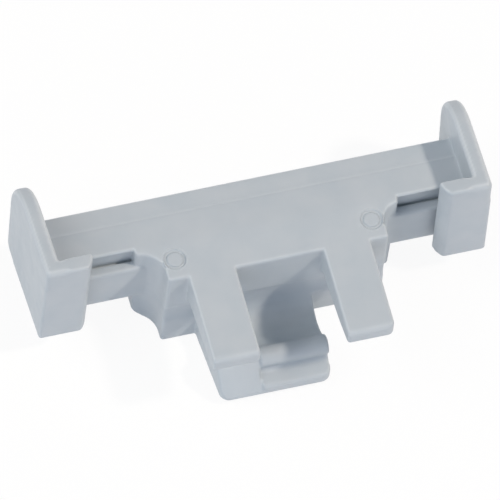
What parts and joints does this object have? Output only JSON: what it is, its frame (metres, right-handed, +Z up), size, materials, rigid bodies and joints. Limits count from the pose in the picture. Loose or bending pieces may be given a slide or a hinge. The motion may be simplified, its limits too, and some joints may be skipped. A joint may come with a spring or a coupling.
{
  "type": "terminal block marker holder",
  "caption": "Clip-on marker holder for a row of terminal blocks: a sloping label tray between two end flanges, with a snap clip at its front that grips a round rail.",
  "frame": {"origin": "on the axis of the clip's round seat, midway along the lower jaw", "axes": "+X along the tray and the seat's axis, -Y out of the clip's mouth, +Y towards the label tray, +Z up from the flat base"},
  "size_m": [0.0445, 0.0227, 0.0174],
  "materials": {
    "grey_plastic": "satin light blue-grey moulded plastic"
  },
  "bodies": {
    "root": {"marker_holder": "grey_plastic"}
  },
  "joints": []
}
